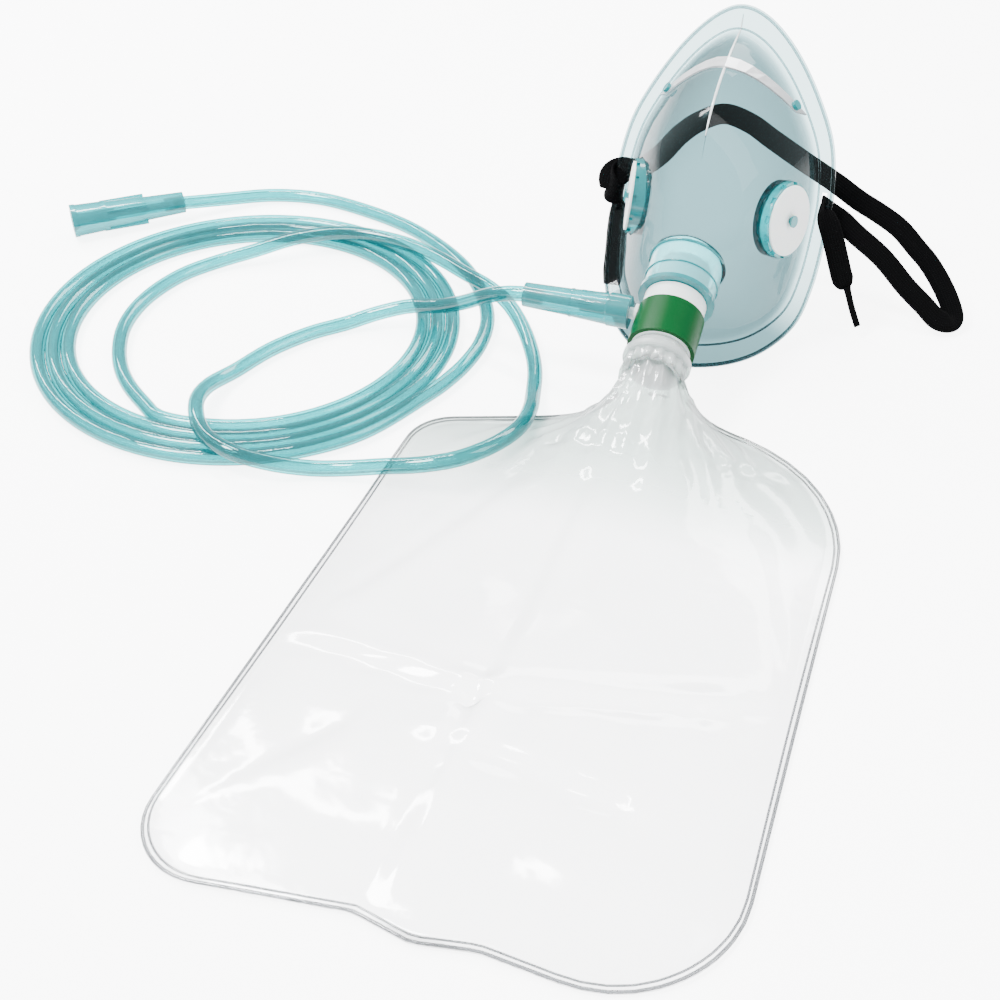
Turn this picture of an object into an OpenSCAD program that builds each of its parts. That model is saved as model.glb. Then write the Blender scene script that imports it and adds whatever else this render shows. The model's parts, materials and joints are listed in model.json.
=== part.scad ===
// Oxygen mask with a reservoir bag and its supply tube, laid out on a flat surface.
// Millimetres, +Z up. The origin is on the underside of the bag, in the mask's plane of symmetry.
// The bag lies toward -Y and the mask stands toward +Y.

/* [Connector between mask and bag] */
// Distance from the origin to the bag end of the connector, along Y
port_y = 150; // [140:1:160]
// Height of the connector's axis at its bag end
port_z = 33; // [32:0.5:36]
// Tilt of the connector's axis above the horizontal, in degrees
port_tilt = 18; // [15:1:20]
// Radius of the gas way through the connector
way_r = 9.5; // [8.5:0.5:10]
// Radius of the spigot that the mask turns on
spigot_r = 11.5; // [11:0.25:12]
// Radius of the green band
band_r = 14.8; // [14:0.2:15.4]

/* [Mask] */
// Depth of the dome in front of the rim
mask_depth = 54; // [48:1:58]
// Height of the deepest point along the rim plane
mask_centre = 56; // [52:1:60]
// Thickness of the moulded wall
wall = 1.5; // [1.2:0.1:2]
// Backward lean of the mask from the vertical, in degrees
mask_lean = 25; // [22:1:28]
// Radius of the round hole for each exhalation valve
valve_r = 17; // [15:0.5:18]
// Distance of each exhalation valve from the plane of symmetry
valve_u = 37; // [36:0.5:40]

/* [Valves] */
// Radius of a white exhalation disc
disc_r = 15.6; // [14:0.2:16]
// Thickness of a valve disc
disc_t = 0.9; // [0.6:0.1:1.2]
// How far a valve disc lifts off its seat
lift = 1.2; // [0.8:0.1:1.4]

/* [Strap] */
// Width of the elastic
strap_w = 10; // [8:0.5:12]
// Thickness of the elastic
strap_t = 1.2; // [1:0.1:1.6]

/* [Reservoir bag] */
// Height of the bag's crown above the surface that it lies on
bag_h = 18; // [14:1:19]
// Thickness of the welded edge
edge_t = 3; // [2:0.5:4]

/* [Supply tube] */
// Outer diameter of the tube
tube_d = 7; // [6.6:0.1:7]
// Radius of the coil's first turn, at the middle of the tube
coil_r0 = 79; // [78:0.5:80]
// Number of turns in the coil
coil_turns = 3; // [3:1:3]
// Radius of the bore that takes the gas outlet's nipple
inlet_r = 3.2; // [3:0.1:3.4]
// Length of that bore
inlet_len = 18; // [14:1:20]

/* [Hidden] */

// Colours
teal = [0.25, 0.70, 0.70];
pale_teal = [0.62, 0.87, 0.87];
clear_pvc = [0.80, 0.90, 0.89];
film = [0.93, 0.95, 0.95];

// The side nipple, and the plug on it, along -X
nipple_s = 18;
nipple_end = 38;
plug_start = 18;
plug_end = 66;

// The mask frame stands on this point
mask_y = port_y + 75;
mask_z = 3;
// Place of an exhalation valve: across, forward of the rim plane, up the rim plane
function valve_at(side) = side > 0 ? [valve_u, 24.4, 54] : [5 - valve_u, 23, 54];
// Turn of each valve away from straight ahead
function valve_turn(side) = side > 0 ? 64 : 76;

// Half outline of the mask's rim, chin to nose: across, forward, up the rim plane
rim_half = [
    [0, 32.5, -17], [20, 30, -14], [36, 20, -7], [48, 8, 6], [52.5, 2, 24], [54, 0, 46],
    [54, 0, 66], [50, 0, 88], [40, 0, 108], [27, 0, 126], [13, 0, 138.5], [0, 0, 143]
];
// The soft mask is pressed in on its left: width of that side against the right
left_in = 0.86;
half_n = len(rim_half) - 1;
rim_ctrl = concat(
    rim_half,
    [for (i = [half_n - 1:-1:1]) [-left_in * rim_half[i][0], rim_half[i][1], rim_half[i][2]]]
);
rim_n = len(rim_ctrl);
rim_sub = 2;
// Rings of the dome from its middle to the rim, as fractions of the rim outline
dome_f = [0.06, 0.18, 0.32, 0.45, 0.57, 0.67, 0.75, 0.81, 0.86, 0.9, 1];

// Place of a strap slot: across, and the low end up the rim plane
function slot_at(side) = side > 0 ? [50.5, 54] : [-43.5, 46];

// Corners of the bag's outline, from the neck round to the neck: x, y from the neck, radius
bag_corners = [
    [-15, -9, 2], [-97, -36, 22], [-111, -289, 27], [89, -289, 30], [93, -4, 72], [15, -4, 2]
];
// Middle of the bag
bag_mid = [-8, -150];

// Middle of the coil, and its first turn's start angle
coil_at = [-197, port_y + 4];
coil_start = -95;
coil_pitch = 7.05;
coil_r1 = coil_r0 + coil_pitch * (coil_turns + 75 / 360);

// The tube from the plug to the coil: x, y from the connector, z
route_in = [
    [-58, 17.1, 38.6], [-66, 17.1, 38.6], [-75, 17.5, 37], [-86, 20.5, 31.5], [-98, 25, 23],
    [-112, 29.5, 15.5], [-127, 31, 11.5], [-142, 27, 7], [-155, 19, 3.6], [-168, 6, 3.6],
    [-180, -12, 3.6], [-188, -32, 3.6], [-192, -52, 7.5], [-188, -70, 11], [-176, -87, 11.4],
    [-160, -95, 11.2], [-143, -93, 7.5], [-127, -87, 4], [-111, -83, 5], [-96, -82, 9],
    [-80, -81, 13], [-65, -75, 15.6], [-54, -61, 15.4], [-49, -44, 13], [-50, -26, 9],
    [-54, -8, 4.4], [-58, 8, 3.6], [-64, 23, 3.8], [-73, 38, 6], [-84, 50, 9.6],
    [-97, 59, 11.4], [-112, 67, 11.4], [-128, 76, 11.4], [-145, 83, 11.4], [-160, 86, 11.4],
    [-175, 86, 11.4], [-190, 82, 11.2], [-206, 73, 10], [-222, 62, 6.5], [-237, 51, 3.9],
    [-248, 36, 3.6], [-254, 19, 3.6], [-256, 2, 3.6], [-254, -15, 3.6], [-248, -31, 3.6],
    [-239, -46, 3.6], [-228, -58, 3.6], [-215, -68, 3.6]
];
// The tube from the coil to the source connector
route_out = [
    [-98.5, -22, 3.6], [-94, -10, 3.6], [-90.5, 4, 3.6], [-89, 22, 3.6], [-92, 42, 3.6],
    [-101, 62, 3.6], [-116, 82, 3.6], [-136, 99, 3.6], [-160, 113, 3.6], [-188, 122, 3.6],
    [-215, 126, 3.6], [-240, 121, 3.8], [-260, 107, 5.5], [-273, 95, 7.8], [-281, 88.7, 8.8]
];
// Where the source connector starts, and the way it points
source_at = [-277, port_y + 91.8, 8.8];
source_turn = 218.2;

// The elastic: point from the connector, then the way its face looks
strap_path = [
    [[68, 89.3, 24.6], [0.3, -0.9, 0.3]], [[65, 90, 30], [0.3, -0.9, 0.3]],
    [[60.5, 92, 41], [0.3, -0.9, 0.3]], [[56.5, 94.3, 50], [0.4, -0.9, 0.2]],
    [[52.4, 96, 57], [0.8, -0.5, 0.1]], [[50.5, 98, 59], [1, 0, 0]],
    [[50.5, 103.3, 56.6], [1, 0, 0]], [[54, 106, 53], [0.7, -0.5, 0.4]],
    [[60, 105, 50], [0.24, -0.73, 0.65]], [[67, 104, 45], [0.24, -0.73, 0.65]],
    [[81, 107, 33], [0.24, -0.73, 0.65]], [[94, 106, 20.5], [0.24, -0.73, 0.65]],
    [[104, 105, 12.5], [0.24, -0.73, 0.65]], [[111, 103, 7.5], [0.24, -0.73, 0.65]],
    [[117, 105, 5.8], [0.24, -0.73, 0.65]], [[118, 110, 7], [0.24, -0.73, 0.65]],
    [[112, 117, 15], [0.24, -0.73, 0.65]], [[103, 123, 24], [0.24, -0.73, 0.65]],
    [[95, 123, 32], [0.24, -0.73, 0.65]], [[86, 124, 40], [0.24, -0.73, 0.65]],
    [[76, 124, 46], [0.24, -0.73, 0.65]], [[65, 123, 52], [0.24, -0.73, 0.65]],
    [[54, 126, 57], [0.24, -0.73, 0.65]], [[45, 131, 59], [0.24, -0.73, 0.65]],
    [[34, 136, 62], [0.24, -0.73, 0.65]], [[19, 142, 67], [0.24, -0.73, 0.65]],
    [[7, 147, 71], [0.24, -0.73, 0.65]], [[-6, 149, 73], [0.24, -0.73, 0.65]],
    [[-17, 146, 69], [0.24, -0.73, 0.65]], [[-25, 139, 64], [0.24, -0.73, 0.65]],
    [[-32, 129, 57], [0.3, -0.7, 0.6]], [[-39, 117, 55], [0.6, -0.6, 0.4]],
    [[-45.5, 107.5, 58], [1, -0.3, 0.2]], [[-48.8, 101, 57.5], [1, 0.2, 0]],
    [[-48.4, 95.5, 55], [0.6, 0.8, 0]], [[-45.6, 92.8, 52.8], [-0.3, 1, 0]],
    [[-43.5, 94.5, 51.9], [-1, 0.2, 0]], [[-43.5, 99.9, 49.3], [-1, 0, 0]]
];
strap_left = [
    [[-43.8, 101.2, 45.5], [-0.8, -0.5, 0.2]], [[-44, 99.5, 40], [-0.2, -0.9, 0.4]],
    [[-43.6, 95, 33], [0, -0.9, 0.4]], [[-43, 91, 24.5], [0, -0.9, 0.4]],
    [[-42.6, 87, 16], [0, -0.9, 0.4]], [[-42.2, 83.5, 8.5], [0, -0.9, 0.4]]
];

// ---------------------------------------------------------------- shared functions

function unit(v) = v / norm(v);
function flat(l) = [for (a = l) for (b = a) b];
function middle(l) = [for (k = [0:2]) [for (p = l) p[k]] * [for (p = l) 1] / len(l)];
function reversed(l) = [for (i = [len(l) - 1:-1:0]) l[i]];
function shifted(l) = [for (p = l) [p[0], p[1] + port_y, p[2]]];
function tangent(l, i) = unit(l[min(i + 1, len(l) - 1)] - l[max(i - 1, 0)]);

// Catmull-Rom point between b and c
function spline(a, b, c, d, t) =
    0.5 * (2 * b + (c - a) * t + (2 * a - 5 * b + 4 * c - d) * t * t
    + (3 * b - a - 3 * c + d) * t * t * t);

// Faces of a closed skin over m rings of n points, with a middle point at each end
function skin_faces(m, n) = concat(
    [for (j = [0:n - 1]) [0, 1 + j, 1 + (j + 1) % n]],
    flat([for (i = [0:m - 2]) for (j = [0:n - 1])
        let (a = 1 + i * n + j, b = 1 + i * n + (j + 1) % n)
        [[a, a + n, b], [b, a + n, b + n]]]),
    [for (j = [0:n - 1]) [m * n + 1, 1 + (m - 1) * n + (j + 1) % n, 1 + (m - 1) * n + j]]
);

// A solid whose skin runs over a list of rings, each counter-clockwise seen from the next
module skin(rings) {
    m = len(rings);
    points = concat([middle(rings[0])], flat(rings), [middle(rings[m - 1])]);
    polyhedron(points = points, faces = skin_faces(m, len(rings[0])), convexity = 8);
}

// A round tube along a route
module sweep_round(route, r, sides) {
    skin([for (i = [0:len(route) - 1])
        let (t = tangent(route, i), side = unit(cross([0, 0, 1], t)), up = cross(t, side))
        [for (j = [0:sides - 1])
            route[i] + r * (cos(j * 360 / sides) * side + sin(j * 360 / sides) * up)]]);
}

// A flat band along a path of [point, direction of its face]
module sweep_band(path, w, t) {
    pts = [for (p = path) [p[0][0], p[0][1] + port_y, p[0][2]]];
    skin([for (i = [0:len(pts) - 1])
        let (
            along = tangent(pts, i),
            across = unit(cross(path[i][1], along)),
            out = cross(along, across)
        )
        [for (c = [[-1, -1], [1, -1], [1, 1], [-1, 1]])
            pts[i] + c[0] * across * w / 2 + c[1] * out * t / 2]]);
}

// An outline with rounded corners, from [x, y, radius]
function round_corner(a, b, c, n) =
    let (
        p = [b[0], b[1]],
        u = unit([a[0], a[1]] - p),
        v = unit([c[0], c[1]] - p),
        half = acos(u * v) / 2,
        start = p + u * b[2] / tan(half),
        end = p + v * b[2] / tan(half),
        mid = p + unit(u + v) * b[2] / sin(half),
        a0 = atan2(start[1] - mid[1], start[0] - mid[0]),
        a1 = atan2(end[1] - mid[1], end[0] - mid[0]),
        turn = a1 - a0 > 180 ? a1 - a0 - 360 : a1 - a0 < -180 ? a1 - a0 + 360 : a1 - a0
    )
    [for (i = [0:n]) mid + b[2] * [cos(a0 + turn * i / n), sin(a0 + turn * i / n)]];
function round_outline(c, n) = flat(
    [for (i = [0:len(c) - 1])
        round_corner(c[(i + len(c) - 1) % len(c)], c[i], c[(i + 1) % len(c)], n)]
);

// Local Z runs along the connector's axis, from the bag to the mask
module on_port(s = 0) {
    translate([0, port_y, port_z]) rotate([port_tilt - 90, 0, 0]) translate([0, 0, s]) children();
}

// Local X runs across the mask, -Y forward and Z up the rim plane
module on_mask() {
    translate([0, mask_y, mask_z]) rotate([-mask_lean, 0, 0]) children();
}

// Local Z points out of an exhalation valve: side is 1 on the right and -1 on the left
module on_valve(side) {
    at = valve_at(side);
    on_mask() translate([at[0], -at[1], at[2]])
        rotate([90, 0, 0]) rotate([0, side * valve_turn(side), 0]) children();
}

module ring(r_out, r_in, h) {
    difference() {
        cylinder(r = r_out, h = h, $fn = 96);
        translate([0, 0, -1]) cylinder(r = r_in, h = h + 2, $fn = 96);
    }
}

// ---------------------------------------------------------------- connector and valve in it

module connector_body() {
    color("white") difference() {
        union() {
            on_port() {
                cylinder(r = 13, h = 21, $fn = 96);
                translate([0, 0, 19.5]) cylinder(r = 13.8, h = 8.3, $fn = 96);
                cylinder(r = spigot_r, h = 46, $fn = 96);
            }
            on_port(nipple_s) rotate([0, -90, 0]) {
                cylinder(r = 4.4, h = 15.5, $fn = 48);
                cylinder(r = 2.6, h = nipple_end, $fn = 48);
                for (x = [20, 25.5, 31]) {
                    translate([0, 0, x]) cylinder(r1 = 3, r2 = 2.6, h = 5, $fn = 48);
                }
            }
        }
        on_port(-1) cylinder(r = way_r, h = 48, $fn = 96);
        on_port(nipple_s) rotate([0, -90, 0]) cylinder(r = 1.6, h = nipple_end + 1, $fn = 32);
    }
}

module colour_band() {
    color([0.03, 0.50, 0.25]) difference() {
        on_port(0.5) ring(band_r, 13, 19);
        on_port(nipple_s) rotate([0, -90, 0]) cylinder(r = 4.6, h = 30, $fn = 48);
    }
}

module inhale_valve_seat() {
    color("white") on_port(24.5) difference() {
        cylinder(r = way_r, h = 1.5, $fn = 96);
        for (a = [0:60:300]) {
            rotate(a) translate([5.4, 0, -1]) cylinder(r = 2, h = 4, $fn = 32);
        }
        translate([0, 0, -1]) cylinder(r = 1, h = 4, $fn = 32);
    }
}

module inhale_valve_pin() {
    color("white") on_port(24.5) {
        cylinder(r = 1, h = 4.6, $fn = 32);
        translate([0, 0, 1.6 + disc_t + lift]) cylinder(r = 2, h = 0.9, $fn = 32);
    }
}

module inhale_flap() {
    color([0.88, 0.93, 0.93]) on_port(26.05) ring(8.3, 1.2, disc_t - 0.1);
}

// ---------------------------------------------------------------- reservoir bag

module bag_neck_ring() {
    color("white") on_port(-12) ring(spigot_r, way_r, 12);
}

module bag_retaining_band() {
    color(film) on_port(-8) rotate_extrude($fn = 96) translate([13, 0])
        polygon([[0, 0], [1.4, 0.3], [1.9, 1.2], [1.9, 3.2], [1.4, 4.2], [0, 4.5]]);
}

module reservoir_bag() {
    outline = [for (p = round_outline(bag_corners, 7)) [p[0], p[1]]];
    dome_rings = [0.97, 0.9, 0.8, 0.66, 0.5, 0.32, 0.12];
    color(film) difference() {
        union() {
            translate([0, port_y, 0]) {
                linear_extrude(edge_t) polygon(outline);
                skin([for (k = [-1:len(dome_rings) - 1])
                    let (
                        f = dome_rings[max(k, 0)],
                        z = k < 0 ? 1 : edge_t + (bag_h - edge_t) * (1 - f * f)
                    )
                    [for (p = outline)
                        [bag_mid[0] + f * (p[0] - bag_mid[0]), bag_mid[1] + f * (p[1] - bag_mid[1]), z]]]);
            }
            hull() {
                on_port(-15.5) cylinder(r = 11.9, h = 1, $fn = 32);
                translate([0, port_y - 64, 1.3]) cylinder(r = 31, h = 11, $fn = 32);
            }
            on_port(-22) cylinder(r = 13, h = 22, $fn = 96);
        }
        on_port(-12) cylinder(r = spigot_r, h = 30, $fn = 96);
    }
}

// ---------------------------------------------------------------- supply tube

module tube_plug() {
    color(teal) on_port(nipple_s) rotate([0, -90, 0]) difference() {
        union() {
            translate([0, 0, plug_start]) cylinder(r = 7.4, h = 9.2, $fn = 64);
            translate([0, 0, plug_start + 9.2]) cylinder(r1 = 7.4, r2 = 7, h = 0.8, $fn = 64);
            translate([0, 0, plug_start + 10]) cylinder(r1 = 7, r2 = 6.2, h = 16, $fn = 64);
            translate([0, 0, plug_start + 26]) cylinder(r = 6.4, h = 0.8, $fn = 64);
            translate([0, 0, plug_start + 26.8]) cylinder(r1 = 6.1, r2 = 5.4, h = 21.2, $fn = 64);
            for (a = [0:60:300]) {
                rotate(a) translate([6, -0.6, plug_start + 13]) cube([0.75, 1.2, 9]);
            }
        }
        translate([0, 0, plug_start - 1]) cylinder(r = 3.06, h = 23, $fn = 64);
        translate([0, 0, plug_start + 20]) cylinder(r = 1.8, h = 30, $fn = 48);
        translate([0, 0, 57.9]) cylinder(r = 3.55, h = 10, $fn = 64);
    }
}

module supply_tube() {
    color(pale_teal) sweep_round(shifted(route_in), tube_d / 2, 10);
}

module tube_coil() {
    r0 = coil_r0 - tube_d / 2;
    r1 = coil_r1 + tube_d / 2;
    color(pale_teal) translate([coil_at[0], coil_at[1], 0.1]) rotate_extrude($fn = 96)
        polygon([
            [r0, 2], [r0 + 2, 0], [r1 - 2, 0], [r1, 2],
            [r1, tube_d - 2], [r1 - 2, tube_d], [r0 + 2, tube_d], [r0, tube_d - 2]
        ]);
}

module supply_tube_tail() {
    color(pale_teal) sweep_round(shifted(route_out), tube_d / 2, 10);
}

module source_connector() {
    color(teal) translate(source_at) rotate([0, 90, source_turn]) difference() {
        union() {
            cylinder(r1 = 5.4, r2 = 6.2, h = 22, $fn = 64);
            translate([0, 0, 22]) cylinder(r1 = 6.6, r2 = 7.2, h = 20, $fn = 64);
            translate([0, 0, 40]) cylinder(r = 7.9, h = 2.5, $fn = 64);
            translate([0, 0, 42.5]) cylinder(r1 = 7.6, r2 = 8.1, h = 13, $fn = 64);
            translate([0, 0, 55.5]) cylinder(r = 8.4, h = 2.5, $fn = 64);
            for (a = [45:90:315]) {
                rotate(a) translate([5, -0.6, 20]) cube([3, 1.2, 22]);
            }
        }
        translate([0, 0, -1]) cylinder(r = tube_d / 2 + 0.06, h = 11, $fn = 64);
        translate([0, 0, 5]) cylinder(r = 1.8, h = 50, $fn = 48);
        translate([0, 0, 54 - inlet_len]) cylinder(r = inlet_r, h = inlet_len + 6, $fn = 64);
        translate([0, 0, 54]) cylinder(r1 = inlet_r, r2 = 6, h = 4.01, $fn = 64);
    }
}

// ---------------------------------------------------------------- mask

function rim_point(k) =
    let (i = floor(k / rim_sub), t = k / rim_sub - i)
    spline(
        rim_ctrl[(i + rim_n - 1) % rim_n], rim_ctrl[i % rim_n],
        rim_ctrl[(i + 1) % rim_n], rim_ctrl[(i + 2) % rim_n], t
    );

// Height of the dome at a fraction of the way to the rim
function dome(f) = f < 0.88 ? mask_depth * (1 - pow(f / 0.88, 2.4)) : 0;

// The nose ridge stands proud of the dome, above the middle
function ridge(u, w) = 7 * exp(-abs(u) / 10) * max(0, sin(180 * min(1, max(0, (w - 68) / 66))));

// A point of the outer face at rim step k and fraction f, as across, forward, up
function shell_point(k, f) =
    let (p = rim_point(k), u = p[0] * f, w = mask_centre + f * (p[2] - mask_centre))
    [u, p[1] * f * f + dome(f) + ridge(u, w), w];

function shell_normal(k, f) =
    let (
        df = shell_point(k, min(f + 0.01, 1)) - shell_point(k, f - 0.02),
        dk = shell_point(k + 0.3, f) - shell_point(k + 2 * half_n * rim_sub - 0.3, f),
        n = unit(cross(df, dk))
    )
    n[1] < 0 ? -n : n;

// From mask coordinates to the local frame of on_mask()
function to_local(p) = [p[0], -p[1], p[2]];

module mask_shell() {
    steps = rim_n * rim_sub;
    outer = [for (f = dome_f) [for (k = [0:steps - 1]) to_local(shell_point(k, f))]];
    inner = [for (f = reversed(dome_f)) [for (k = [0:steps - 1])
        to_local(shell_point(k, f) - wall * shell_normal(k, f))]];
    color(clear_pvc) difference() {
        on_mask() skin([for (r = concat(outer, inner)) reversed(r)]);
        on_port(20) cylinder(r = 16.3, h = 60, $fn = 96);
        for (side = [-1, 1]) {
            on_valve(side) translate([0, 0, -14]) cylinder(r = valve_r, h = 30, $fn = 96);
            on_mask() translate([slot_at(side)[0] - 1.2, -20, slot_at(side)[1]]) cube([2.4, 40, 13]);
        }
    }
}

module port_collar() {
    color([0.80, 0.95, 0.95]) on_port() difference() {
        union() {
            translate([0, 0, 30.3]) cylinder(r = 16, h = 8, $fn = 96);
            translate([0, 0, 38]) cylinder(r = 16.3, h = 14, $fn = 96);
        }
        translate([0, 0, 20]) cylinder(r = spigot_r + 0.06, h = 27, $fn = 96);
        translate([0, 0, 40]) cylinder(r = way_r, h = 20, $fn = 96);
    }
}

module collar_end_ring() {
    color(teal) on_port(28.3) ring(16.9, spigot_r + 0.06, 2);
}

module exhale_seat(side) {
    color(teal) on_valve(side) difference() {
        union() {
            translate([0, 0, -5.5]) ring(valve_r, 13, 7.5);
            for (a = [0:90:270]) {
                rotate(a) translate([2, -1.5, 0]) cube([12, 3, 2]);
            }
            cylinder(r = 3.2, h = 2, $fn = 48);
        }
        translate([0, 0, -1]) cylinder(r = 1.3, h = 4, $fn = 32);
        for (a = [0:30:330]) {
            rotate(a) translate([15.8, -1.6, 0.4]) cube([3, 3.2, 3]);
        }
    }
}

module exhale_pin(side) {
    color(teal) on_valve(side) {
        cylinder(r = 1.3, h = 2 + disc_t + lift + 1, $fn = 32);
        translate([0, 0, 2.15 + disc_t + lift]) cylinder(r = 2.7, h = 0.9, $fn = 48);
    }
}

module exhale_flap(side) {
    color("white") on_valve(side) translate([0, 0, 2.05]) ring(disc_r, 1.4, disc_t);
}

// The strip lies on the dome, across the nose: station i runs from -6 to 6
function clip_f(i) = 0.7 + 0.14 * pow(i / 6, 2);
function clip_k(i) = (half_n + i / 2) * rim_sub;

module nose_clip() {
    w = 7.5;
    color([0.85, 0.87, 0.88]) on_mask() skin([for (i = [-6:6])
        let (
            k = clip_k(i), f = clip_f(i), p = shell_point(k, f), n = shell_normal(k, f),
            along = unit(shell_point(k - 0.2, clip_f(i + 0.1)) - shell_point(k + 0.2, clip_f(i - 0.1))),
            across = unit(cross(n, along))
        )
        [for (c = [[-1, 0.25], [1, 0.25], [1, 1.15], [-1, 1.15]])
            to_local(p + c[0] * across * w / 2 + c[1] * n)]]);
}

module nose_clip_stud(side) {
    p = shell_point(clip_k(side * -5.5), clip_f(5.5));
    n = shell_normal(clip_k(side * -5.5), clip_f(5.5));
    color(teal) on_mask() translate(to_local(p))
        rotate([0, acos(n[2]), atan2(-n[1], n[0])]) translate([0, 0, 1.2]) cylinder(r = 2.3, h = 1.6, $fn = 32);
}

module strap_band() {
    color([0.06, 0.06, 0.07]) sweep_band(strap_path, strap_w, strap_t);
}

module strap_tip_right() {
    color([0.06, 0.06, 0.07]) sweep_band(
        [[[68.3, 89.2, 24], [0.3, -0.9, 0.3]], [[72, 88.5, 15], [0.3, -0.9, 0.3]], [[76, 88, 6], [0.3, -0.9, 0.3]]],
        3, 1.6
    );
}

module strap_end_left() {
    color([0.06, 0.06, 0.07]) sweep_band(strap_left, strap_w, strap_t);
}

connector_body();
colour_band();
inhale_valve_seat();
inhale_valve_pin();
bag_neck_ring();
bag_retaining_band();
reservoir_bag();
tube_plug();
supply_tube();
tube_coil();
supply_tube_tail();
source_connector();
mask_shell();
port_collar();
collar_end_ring();
exhale_seat(-1);  // exhale_seat_left
exhale_seat(1);  // exhale_seat_right
exhale_pin(-1);  // exhale_pin_left
exhale_pin(1);  // exhale_pin_right
nose_clip();
nose_clip_stud(-1);  // nose_clip_stud_left
nose_clip_stud(1);  // nose_clip_stud_right
strap_band();
strap_tip_right();
strap_end_left();
inhale_flap();
exhale_flap(-1);  // exhale_flap_left
exhale_flap(1);  // exhale_flap_right
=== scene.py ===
"""Oxygen mask with reservoir bag: the looks, in metres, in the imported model's own frame."""
import json
import math

import bpy
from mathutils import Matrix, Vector, noise


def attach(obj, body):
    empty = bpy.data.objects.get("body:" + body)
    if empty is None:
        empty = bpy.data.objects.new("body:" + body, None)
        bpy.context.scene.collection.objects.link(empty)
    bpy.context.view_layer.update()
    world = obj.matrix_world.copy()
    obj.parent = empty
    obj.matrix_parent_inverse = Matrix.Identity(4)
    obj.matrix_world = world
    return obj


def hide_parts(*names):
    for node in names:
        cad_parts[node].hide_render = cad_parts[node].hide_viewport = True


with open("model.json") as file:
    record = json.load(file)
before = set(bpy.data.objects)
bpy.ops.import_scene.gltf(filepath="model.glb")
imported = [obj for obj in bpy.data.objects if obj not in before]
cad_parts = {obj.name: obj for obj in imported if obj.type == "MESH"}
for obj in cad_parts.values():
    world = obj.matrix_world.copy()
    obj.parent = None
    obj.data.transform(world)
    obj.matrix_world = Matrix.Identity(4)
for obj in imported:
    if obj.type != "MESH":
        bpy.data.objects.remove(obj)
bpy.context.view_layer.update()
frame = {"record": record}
MM = 0.001

# Driving places, all in millimetres in the part's frame
PORT = Vector((0, 150, 33))
TILT = math.radians(18)
LEAN = math.radians(25)
AXIS = Vector((0, math.cos(TILT), math.sin(TILT)))
MASK_BASE = Vector((0, 225, 3))
TUBE_R = 3.5


# ---------------------------------------------------------------- geometry helpers

def spline(points, per):
    """Catmull-Rom points through a list, with per steps in each span."""
    pts = [Vector(p) for p in points]
    out = []
    for i in range(len(pts) - 1):
        a, b, c, d = pts[max(i - 1, 0)], pts[i], pts[i + 1], pts[min(i + 2, len(pts) - 1)]
        for k in range(per):
            t = k / per
            out.append(0.5 * (2 * b + (c - a) * t + (2 * a - 5 * b + 4 * c - d) * t * t
                              + (3 * b - a - 3 * c + d) * t ** 3))
    return out + [pts[-1]]


def even(points, step):
    """The same line with points a fixed distance apart."""
    out, left = [points[0]], step
    for a, b in zip(points, points[1:]):
        length = (b - a).length
        while left < length:
            out.append(a.lerp(b, left / length))
            left += step
        left -= length
    return out + [points[-1]]


def tangent(pts, i):
    return (pts[min(i + 1, len(pts) - 1)] - pts[max(i - 1, 0)]).normalized()


def new_mesh(name, verts, faces):
    """A smooth-shaded mesh object from points in millimetres."""
    mesh = bpy.data.meshes.new(name)
    mesh.from_pydata([tuple(Vector(v) * MM) for v in verts], [], faces)
    mesh.validate()
    mesh.update()
    for p in mesh.polygons:
        p.use_smooth = True
    obj = bpy.data.objects.new(name, mesh)
    bpy.context.scene.collection.objects.link(obj)
    return obj


def loft(name, rings, caps=True):
    """A skin over closed rings of points. caps fill the first and last."""
    n = len(rings[0])
    verts = [v for r in rings for v in r]
    faces = []
    for i in range(len(rings) - 1):
        for j in range(n):
            a, b = i * n + j, i * n + (j + 1) % n
            faces.append((a, b, b + n, a + n))
    if caps:
        faces.append(tuple(reversed(range(n))))
        faces.append(tuple(range((len(rings) - 1) * n, len(rings) * n)))
    return new_mesh(name, verts, faces)


def frames(pts):
    """(point, side, up) along a line that never runs straight up."""
    up = Vector((0, 0, 1))
    for i, p in enumerate(pts):
        t = tangent(pts, i)
        side = up.cross(t).normalized()
        yield p, side, t.cross(side)


def whole_turn(sides):
    """The angles of a whole turn in equal steps."""
    return [2 * math.pi * j / sides for j in range(sides)]


def round_rings(pts, radius, sides):
    """Rings round a line. radius is a function of the angle."""
    return [[p + radius(a) * (math.cos(a) * s + math.sin(a) * u) for a in whole_turn(sides)]
            for p, s, u in frames(pts)]


def apply_modifiers(obj):
    deps = bpy.context.evaluated_depsgraph_get()
    mesh = bpy.data.meshes.new_from_object(obj.evaluated_get(deps))
    obj.modifiers.clear()
    obj.data = mesh


# ---------------------------------------------------------------- materials

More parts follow.
